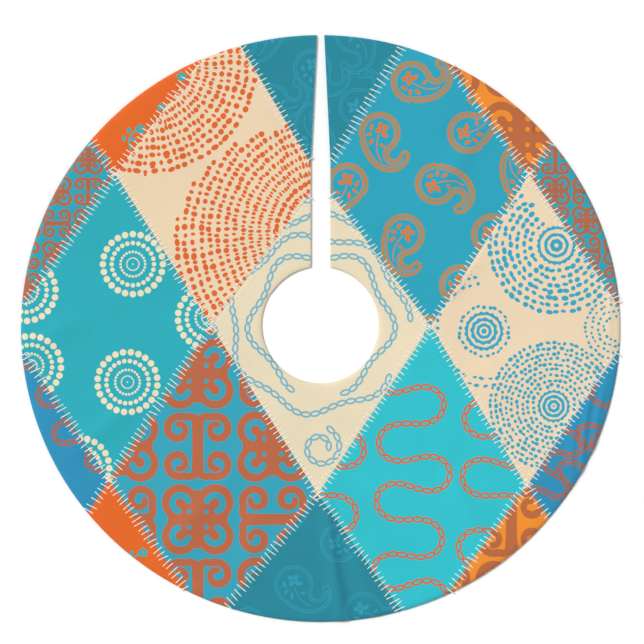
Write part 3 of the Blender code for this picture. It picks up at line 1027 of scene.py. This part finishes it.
# fleece: lofty and matt, no threads to be seen
fleeceCloth = clothMaterial("bondedPolyesterFleece", "#F4F2EC", 4.0, 0.95, 0.7, 260.0, 0.07, 0.3)
# tabs: diagonal ribs
tabCloth = clothMaterial("twillCottonTape", "#E9E4D8", 1.0, 0.8, 0.5, 500.0, 0.06, 0.1, True)
# hook and loop tapes: close weave, slightly glossy
tapeNylon = clothMaterial("wovenNylonTape", "#F2F0EA", 0.9, 0.5, 0.35, 700.0, 0.03)
# yarn: soft, matt, a little hairy
acrylicYarn = clothMaterial("twoPlyAcrylicYarn", "#FCF9EC", 0.9, 0.85, 0.5, 900.0, 0.07, 0.35, True)
# machine thread: thin and smooth
threadCotton = clothMaterial("sewingCotton", "#E6E0D0", 0.5, 0.6, 0.2)

lining = {"inset": 3.0, "thick": 0.8, "step": 13.0, "cornerTop": 3.95, "ramp": 24.0}
fleece = {"inset": 7.5, "underside": 1.1, "top": 3.3, "clearance": 0.25, "step": 18.0}
sheetBox = [(-600, -600), (600, -600), (600, 600), (-600, 600)]


def patchUnder(x, y):
    return patchTop(x, y) - layers["patchThick"]


def liningTop(x, y):
    ramp = smooth(-fromFold(x, y) / lining["ramp"]) * (np.asarray(y) > plan["splitY"])
    up = layers["liningTop"] + (lining["cornerTop"] - layers["liningTop"]) * ramp
    return np.maximum(np.minimum(up, patchUnder(x, y) - 0.35), lining["thick"])


def fleeceTop(x, y):
    return np.minimum(patchUnder(x, y) - fleece["clearance"], fleece["top"])


def sheetPoints(step, inset):
    xs, ys = np.meshgrid(np.arange(-560, 560, step), np.arange(-560, 560, step * 0.9))
    x, y = xs.ravel(), ys.ravel()
    ok = (fromRim(x, y) > inset + 10) & (fromNeck(x, y) > inset + 10) & (fromSlit(x, y) > inset + 6)
    pts = np.column_stack([x, y])[ok].tolist()
    for more in (1.2, 2.8, 4.8, 7.2, 9.6):
        pts += skirtOutline(inset + more, 7.0)
    return pts


liningOutline = skirtOutline(lining["inset"])
pts = sheetPoints(lining["step"], lining["inset"]) + foldPoints.tolist()
coords, tris, inkList, upper = planMesh(sheetBox, [], pts, liningOutline, plan["splitY"])
middle = coords[tris].mean(1)
for name, keep, side, moves, nodes in [
        ("lining_lower", ~upper, 1, "flat", ["lining"]),
        ("lining_upper_left", upper & (middle[:, 0] < 0), -1, "bend", ["lining", "left_corner_lining"]),
        ("lining_upper_right", upper & (middle[:, 0] > 0), 1, "bend", ["lining", "right_corner_lining"])]:
    piece = closedCloth(name + "_cloth", coords, tris[keep], inkList[keep],
                        [liningCloth], liningTop, lining["thick"])
    hang(piece, side, nodes, moves)

cornerShapes = []
for side in (-1, 1):
    ends = [(side * (foldPoint.x + foldAxis.x * t + foldAxis.y * 1.5), foldPoint.y + foldAxis.y * t)
            for t in (-245, 270)]
    cornerShapes.append((1, ends + [(0, ends[1][1]), (0, ends[0][1])]))
pts = sheetPoints(fleece["step"], fleece["inset"])
coords, tris, inkList, upper = planMesh(sheetBox, cornerShapes, pts, skirtOutline(fleece["inset"]))
keep = inkList == 0
piece = closedCloth("fleece_interlining_cloth", coords, tris[keep], inkList[keep], [fleeceCloth], fleeceTop,
                    lambda x, y: fleeceTop(x, y) - fleece["underside"])
hang(piece, 1, ["fleece_interlining"], "flat")


# what repeats along a line: yarn stitches, hooks, loops
# Geometry Nodes: the model is set along each wire, its X along the wire, with a small scatter
def pieceAlong(name, wires, model, material, values, seed):
    verts, edges = [], []
    for wire in wires:
        edges += [(len(verts) + k, len(verts) + k + 1) for k in range(len(wire) - 1)]
        verts += wire
    obj = meshObject(name, verts, [], edges=edges)
    tree = bpy.data.node_groups.new("along_" + name, "GeometryNodeTree")
    face = tree.interface
    settings = {
        "Spacing": ("Float", values["spacing"] * mm), "Place scatter": ("Float", values["place"] * mm),
        "Angle scatter": ("Float", math.radians(values["angle"])),
        "Length scatter": ("Float", values["length"]),
        "Model": ("Object", model), "Finish": ("Material", material), "Seed": ("Int", seed)}
    face.new_socket("Geometry", in_out="INPUT", socket_type="NodeSocketGeometry")
    for label, (kind, value) in settings.items():
        face.new_socket(label, in_out="INPUT", socket_type="NodeSocket" + kind)
    face.new_socket("Geometry", in_out="OUTPUT", socket_type="NodeSocketGeometry")
    given = tree.nodes.new("NodeGroupInput").outputs
    curve = addNode(tree, "GeometryNodeMeshToCurve", None, Mesh=given["Geometry"])
    points = addNode(tree, "GeometryNodeCurveToPoints", {"mode": "LENGTH"},
                     Curve=curve.outputs[0], Length=given["Spacing"])
    scatter = {}
    for salt, label in enumerate(("Place scatter", "Angle scatter", "Length scatter"), 1):
        low = addNode(tree, "ShaderNodeMath", {"operation": "MULTIPLY"}, i0=given[label], i1=-1.0)
        pick = addNode(tree, "ShaderNodeMath", {"operation": "ADD"}, i0=given["Seed"], i1=float(salt))
        scatter[label] = addNode(tree, "FunctionNodeRandomValue", {"data_type": "FLOAT"},
                                 i2=low.outputs[0], i3=given[label], Seed=pick.outputs[0]).outputs[1]
    tangent = points.outputs["Tangent"]
    shift = addNode(tree, "ShaderNodeVectorMath", {"operation": "SCALE"},
                    Vector=tangent, Scale=scatter["Place scatter"])
    moved = addNode(tree, "GeometryNodeSetPosition", None,
                    Geometry=points.outputs[0], Offset=shift.outputs[0])
    heading = addNode(tree, "FunctionNodeAlignRotationToVector", {"axis": "X", "pivot_axis": "Z"},
                      Vector=tangent)
    twist = addNode(tree, "ShaderNodeCombineXYZ", None, Z=scatter["Angle scatter"])
    euler = addNode(tree, "FunctionNodeEulerToRotation", None, Euler=twist.outputs[0])
    turned = addNode(tree, "FunctionNodeRotateRotation", {"rotation_space": "LOCAL"},
                     Rotation=heading.outputs[0], Rotate_By=euler.outputs[0])
    longer = addNode(tree, "ShaderNodeMath", {"operation": "ADD"}, i0=scatter["Length scatter"], i1=1.0)
    size = addNode(tree, "ShaderNodeCombineXYZ", None, X=1.0, Y=longer.outputs[0], Z=1.0)
    source = addNode(tree, "GeometryNodeObjectInfo", None, Object=given["Model"])
    copies = addNode(tree, "GeometryNodeInstanceOnPoints", None, Points=moved.outputs[0],
                     Instance=source.outputs["Geometry"], Rotation=turned.outputs[0], Scale=size.outputs[0])
    real = addNode(tree, "GeometryNodeRealizeInstances", None, Geometry=copies.outputs[0])
    painted = addNode(tree, "GeometryNodeSetMaterial", None,
                      Geometry=real.outputs[0], Material=given["Finish"])
    addNode(tree, "NodeGroupOutput", None, Geometry=painted.outputs[0])
    modifier = obj.modifiers.new("along", "NODES")
    modifier.node_group = tree
    for item in face.items_tree:
        if item.in_out == "INPUT" and item.name in settings:
            modifier[item.identifier] = settings[item.name][1]
    bpy.context.view_layer.update()
    evaluated = obj.evaluated_get(bpy.context.evaluated_depsgraph_get())
    result = bpy.data.meshes.new_from_object(evaluated)
    bpy.data.objects.remove(obj)
    out = bpy.data.objects.new(name, result)
    bpy.context.scene.collection.objects.link(out)
    return out


# a small closed tube along a path in mm, X is across the stitch and Y along it
def tubeModel(name, path, radii, sides=6, twist=0.0, lobes=0.0, across=(1, 0, 0)):
    verts, faces = [], []
    p = [Vector(q) for q in path]
    for i, q in enumerate(p):
        d = (p[min(i + 1, len(p) - 1)] - p[max(i - 1, 0)]).normalized()
        sideways = Vector(across)
        up = sideways.cross(d).normalized()
        for k in range(sides):
            t = 2 * math.pi * k / sides
            r = radii[i] * (1 + lobes * math.cos(2 * t - twist * i))
            verts.append(tuple((q + (sideways * math.cos(t) + up * math.sin(t)) * r) * mm))
    for i in range(len(p) - 1):
        for k in range(sides):
            a, b = i * sides + k, i * sides + (k + 1) % sides
            faces.append((a, b, b + sides, a + sides))
    faces += [tuple(range(sides))[::-1], tuple(range((len(p) - 1) * sides, len(p) * sides))]
    uvs = [((k % sides) * 1.2 * mm, (k // sides) * 2.4 * mm) for k in range(len(verts))]
    obj = meshObject(name, verts, faces, uvs=uvs)
    faceOutward(obj.data)
    return obj


yarn = {"length": 21.5, "radius": 1.05, "rise": 1.0}
# how far apart the stitches are, and the scatter of their place, turn and length
yarnValues = {"spacing": 9.8, "place": 1.5, "angle": 10.0, "length": 0.16}
ys = np.linspace(-0.5, 0.5, 8)
yarnPath = [(0, y * yarn["length"], yarn["rise"] * (1 - (2 * y) ** 4) - 0.75) for y in ys]
yarnRadii = [yarn["radius"] * (0.62 if i in (0, 7) else 0.95 + 0.05 * (i % 2)) for i in range(8)]
yarnModel = tubeModel("yarnModel", yarnPath, yarnRadii, 6, 1.4, 0.13)


def seamWires():
    wires = {"lower": [], "left": [], "right": []}
    for a, b in seams:
        n = int((b - a).length / 4)
        run, where = [], None
        for k in range(n + 1):
            q = a.lerp(b, k / n)
            offSlit = q.y < 100 or abs(q.x) > float(slitHalf(q.y)) + 3
            ok = fromRim(q.x, q.y) > 3 and fromNeck(q.x, q.y) > 3 and offSlit
            now = ("lower" if q.y < plan["splitY"] else "left" if q.x < 0 else "right") if ok else None
            if now != where or now is None:
                if where and len(run) > 2:
                    wires[where].append(run)
                run = []
            if now:
                run.append((q.x, q.y))
            where = now
        if where and len(run) > 2:
            wires[where].append(run)
    for runs in wires.values():
        for k, run in enumerate(runs):
            p = np.array(run)
            z = patchTop(p[:, 0], p[:, 1], False)
            runs[k] = (np.column_stack([p, z]) * mm).tolist()
    return wires


yarnWires = seamWires()
yarnNodes = {"lower": ("flat", 1), "left": ("bend", -1), "right": ("bend", 1)}
for k, (where, (moves, side)) in enumerate(yarnNodes.items()):
    piece = pieceAlong("yarn_stitches_" + where, yarnWires[where], yarnModel, acrylicYarn, yarnValues, 5 + k)
    if moves == "flat":
        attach(piece, "skirt")
    else:
        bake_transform(piece)
    print("yarn", piece.name, len(piece.data.polygons), "faces")


# tabs that close the slit
tabs = {"thick": 0.6, "corner": 3.0, "across": 8}


# one cloth strap: its sewn end above, a turn at the fold, then the free part below
def strap(name, sewn, free):
    (a0, a1), (b0, b1) = sewn, free
    zTop, zLow = (a0.z + a1.z) / 2, (b0.z + b1.z) / 2
    xTurn = b1.x
    path = [(x, zTop, 0, 1) for x in np.linspace(a0.x, xTurn, 5)]
    r = (zTop - zLow) / 2
    path += [(xTurn + r * math.sin(t), zLow + r + r * math.cos(t), math.sin(t), math.cos(t))
             for t in np.linspace(0, math.pi, 9)[1:-1]]
    path += [(x, zLow, 0, -1) for x in np.linspace(xTurn, b0.x, 20)]
    halfThick, n = tabs["thick"] / 2 * mm, tabs["across"]
    run = [0.0]
    for p, q in zip(path, path[1:]):
        run.append(run[-1] + math.dist(p[:2], q[:2]))
    yMid, yHalf = (b0.y + b1.y) / 2, (b1.y - b0.y) / 2
    verts, faces, uvs = [], [], []
    for i, (x, z, nx, nz) in enumerate(path):
        d = max(run[i] - (run[-1] - tabs["corner"] * mm), 0)
        narrow = tabs["corner"] * mm - math.sqrt(max((tabs["corner"] * mm) ** 2 - d * d, 0))
        for k in range(n + 1):
            y = (yHalf - narrow) * (2 * k / n - 1)
            for s in (1, -1):
                edge = 0.55 if k in (0, n) else 1.0
                verts.append((x + nx * halfThick * s * edge, yMid + y, z + nz * halfThick * s * edge))
                uvs.append((run[i], y))
    at = lambda i, k, s: (i * (n + 1) + k) * 2 + (0 if s > 0 else 1)
    for i in range(len(path) - 1):
        for k in range(n):
            faces.append((at(i, k, 1), at(i + 1, k, 1), at(i + 1, k + 1, 1), at(i, k + 1, 1)))
            faces.append((at(i, k, -1), at(i, k + 1, -1), at(i + 1, k + 1, -1), at(i + 1, k, -1)))
        for k, order in ((0, 1), (n, -1)):
            quad = (at(i, k, 1), at(i, k, -1), at(i + 1, k, -1), at(i + 1, k, 1))
            faces.append(quad[::order])
    for i, order in ((0, -1), (len(path) - 1, 1)):
        for k in range(n):
            quad = (at(i, k, 1), at(i, k, -1), at(i, k + 1, -1), at(i, k + 1, 1))
            faces.append(quad[::order])
    obj = meshObject(name, verts, faces, [tabCloth], uvs)
    faceOutward(obj.data)
    obj.data.set_sharp_from_angle(angle=math.radians(60))
    return obj, run[-1]


# a woven tape cut with rounded corners, its edges slightly sealed
def tapeBase(name, low, high):
    radius, bevel = 1.6 * mm, 0.12 * mm

    def loop(inset, z):
        out = []
        r = radius - inset
        for cx, cy, start in ((high.x - radius, high.y - radius, 0), (low.x + radius, high.y - radius, 90),
                              (low.x + radius, low.y + radius, 180), (high.x - radius, low.y + radius, 270)):
            for k in range(5):
                t = math.radians(start + 22.5 * k)
                out.append((cx + r * math.cos(t), cy + r * math.sin(t), z))
        return out

    rings = [loop(bevel, low.z), loop(0, low.z + bevel), loop(0, high.z - bevel), loop(bevel, high.z)]
    n = len(rings[0])
    verts = [v for ring in rings for v in ring]
    faces = [(i * n + k, i * n + (k + 1) % n, (i + 1) * n + (k + 1) % n, (i + 1) * n + k)
             for i in range(3) for k in range(n)]
    faces += [tuple(range(n))[::-1], tuple(range(3 * n, 4 * n))]
    return meshObject(name, verts, faces, [tapeNylon], [v[:2] for v in verts], smooth=False)


hookTape = {"rows": 1.5, "pitch": 1.5, "base": 0.32, "border": 2.6, "place": 0.12, "angle": 6}
loopTape = {"rows": 1.6, "pitch": 1.5, "base": 0.32, "border": 2.8, "place": 0.4, "angle": 80}
tapeThread = {"spacing": 2.6, "place": 0.1, "angle": 3, "length": 0.05}
hookModel = tubeModel("hookModel", [(0, 0, 0.05), (0, 0, -0.14), (0, 0.06, -0.24), (0, 0.2, -0.29),
                                    (0, 0.32, -0.22)], [0.085, 0.08, 0.075, 0.07, 0.05], 5)
loopModel = tubeModel("loopModel", [(0, -0.42, 0.05), (0, -0.36, -0.14), (0, -0.12, -0.25), (0, 0.14, -0.25),
                                    (0, 0.38, -0.13), (0, 0.44, 0.05)], [0.06] * 6, 4)
stitchPath = [(-1.1, 0, 0.06), (-0.6, 0, -0.04), (0.6, 0, -0.04), (1.1, 0, 0.06)]
stitchModel = tubeModel("machineStitchModel", stitchPath, [0.12, 0.17, 0.17, 0.12], 5, across=(0, 1, 0))


def gripTape(name, node, kind, body, seed):
    low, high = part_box(node)
    under = high.z - kind["base"] * mm
    base = tapeBase(name, Vector((low.x, low.y, under)), high)
    edge = kind["border"] * mm
    rows = []
    for x in np.arange(low.x + edge, high.x - edge, kind["rows"] * mm):
        rows.append([(x, low.y + edge, under), (x, high.y - edge, under)])
    model = hookModel if kind is hookTape else loopModel
    values = {"spacing": kind["pitch"], "place": kind["place"], "angle": kind["angle"], "length": 0.1}
    pile = pieceAlong(name + "_pile", rows, model, tapeNylon, values, seed)
    c = 1.3 * mm
    around = [(low.x + c, low.y + c), (high.x - c, low.y + c),
              (high.x - c, high.y - c), (low.x + c, high.y - c)]
    wires = []
    for (x0, y0), (x1, y1) in zip(around, around[1:] + around[:1]):
        wires.append([(x0, y0, under), ((x0 + x1) / 2, (y0 + y1) / 2, under), (x1, y1, under)])
    sewn = pieceAlong(name + "_thread", wires, stitchModel, threadCotton, tapeThread, seed)
    joined = joinPieces([base, pile, sewn], name)
    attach(joined, body)
    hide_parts(node)
    return joined


def joinPieces(objects, name):
    bm = bmesh.new()
    mesh = bpy.data.meshes.new(name)
    materials = []
    for o in objects:
        start = len(bm.faces)
        bm.from_mesh(o.data)
        bm.faces.ensure_lookup_table()
        for face in list(bm.faces)[start:]:
            m = o.data.materials[face.material_index] if len(o.data.materials) else None
            if m not in materials:
                materials.append(m)
            face.material_index = materials.index(m)
    bm.to_mesh(mesh)
    bm.free()
    for m in materials:
        mesh.materials.append(m)
    for o in objects:
        bpy.data.objects.remove(o)
    obj = bpy.data.objects.new(name, mesh)
    bpy.context.scene.collection.objects.link(obj)
    return obj


for k, tab in enumerate(("neck_tab", "middle_tab", "rim_tab")):
    sewnNode, hookNode, loopNode = tab + "_sewn_end", tab + "_hook_tape", tab + "_loop_tape"
    sewn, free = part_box(sewnNode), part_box(tab)
    piece, long = strap(tab + "_strap", sewn, free)
    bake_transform(piece)
    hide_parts(tab, sewnNode)
    gripTape(tab + "_hook_grip", hookNode, hookTape, tab, 30 + k)
    gripTape(tab + "_loop_grip", loopNode, loopTape, "right_corner", 40 + k)
    print("tab", tab, "strap", round(long * 1000, 1), "mm long")
for model in (yarnModel, hookModel, loopModel, stitchModel):
    bpy.data.objects.remove(model)

# camera, floor and light
studio = {"skyStrength": 0.48, "sunStrength": 2.10, "sunAngle": 22.0, "sunFrom": (-0.75, 0.55, 1.25),
          "floorSize": 30.0, "floorColour": "#FFFFFF", "lens": 209.6, "cameraAt": (0.0028, 0.0121, 7.0)}
camera = bpy.data.cameras.new("camera")
camera.sensor_width = 36
camera.lens = studio["lens"]
cameraObject = bpy.data.objects.new("camera", camera)
cameraObject.location = studio["cameraAt"]
camera.clip_end = 50
bpy.context.scene.collection.objects.link(cameraObject)
bpy.context.scene.camera = cameraObject
bpy.context.scene.view_settings.view_transform = "Standard"

world = bpy.data.worlds.new("softbox")
bpy.context.scene.world = world
world.use_nodes = True
sky = world.node_tree.nodes["Background"]
sky.inputs["Color"].default_value = (1, 1, 1, 1)
sky.inputs["Strength"].default_value = studio["skyStrength"]
sun = bpy.data.lights.new("windowLight", "SUN")
sun.energy = studio["sunStrength"]
sun.angle = math.radians(studio["sunAngle"])
sunObject = bpy.data.objects.new("windowLight", sun)
sunObject.rotation_euler = Vector(studio["sunFrom"]).to_track_quat("Z", "Y").to_euler()
bpy.context.scene.collection.objects.link(sunObject)

half, low = studio["floorSize"] / 2, -0.3 * mm  # just under the lining, so the two never share a plane
corners = [(-half, -half, low), (half, -half, low), (half, half, low), (-half, half, low)]
floor = meshObject("floor", corners, [(0, 1, 2, 3)], smooth=False)
floorPaint = bpy.data.materials.new("mattPaintedBoard")  # plain matt white board, no shine
floorPaint.use_nodes = True
tree = floorPaint.node_tree
tree.nodes.clear()
paint = addNode(tree, "ShaderNodeBsdfDiffuse", None, Color=hexColour(studio["floorColour"]), Roughness=0.0)
addNode(tree, "ShaderNodeOutputMaterial", None, Surface=paint.outputs[0])
floor.data.materials.append(floorPaint)
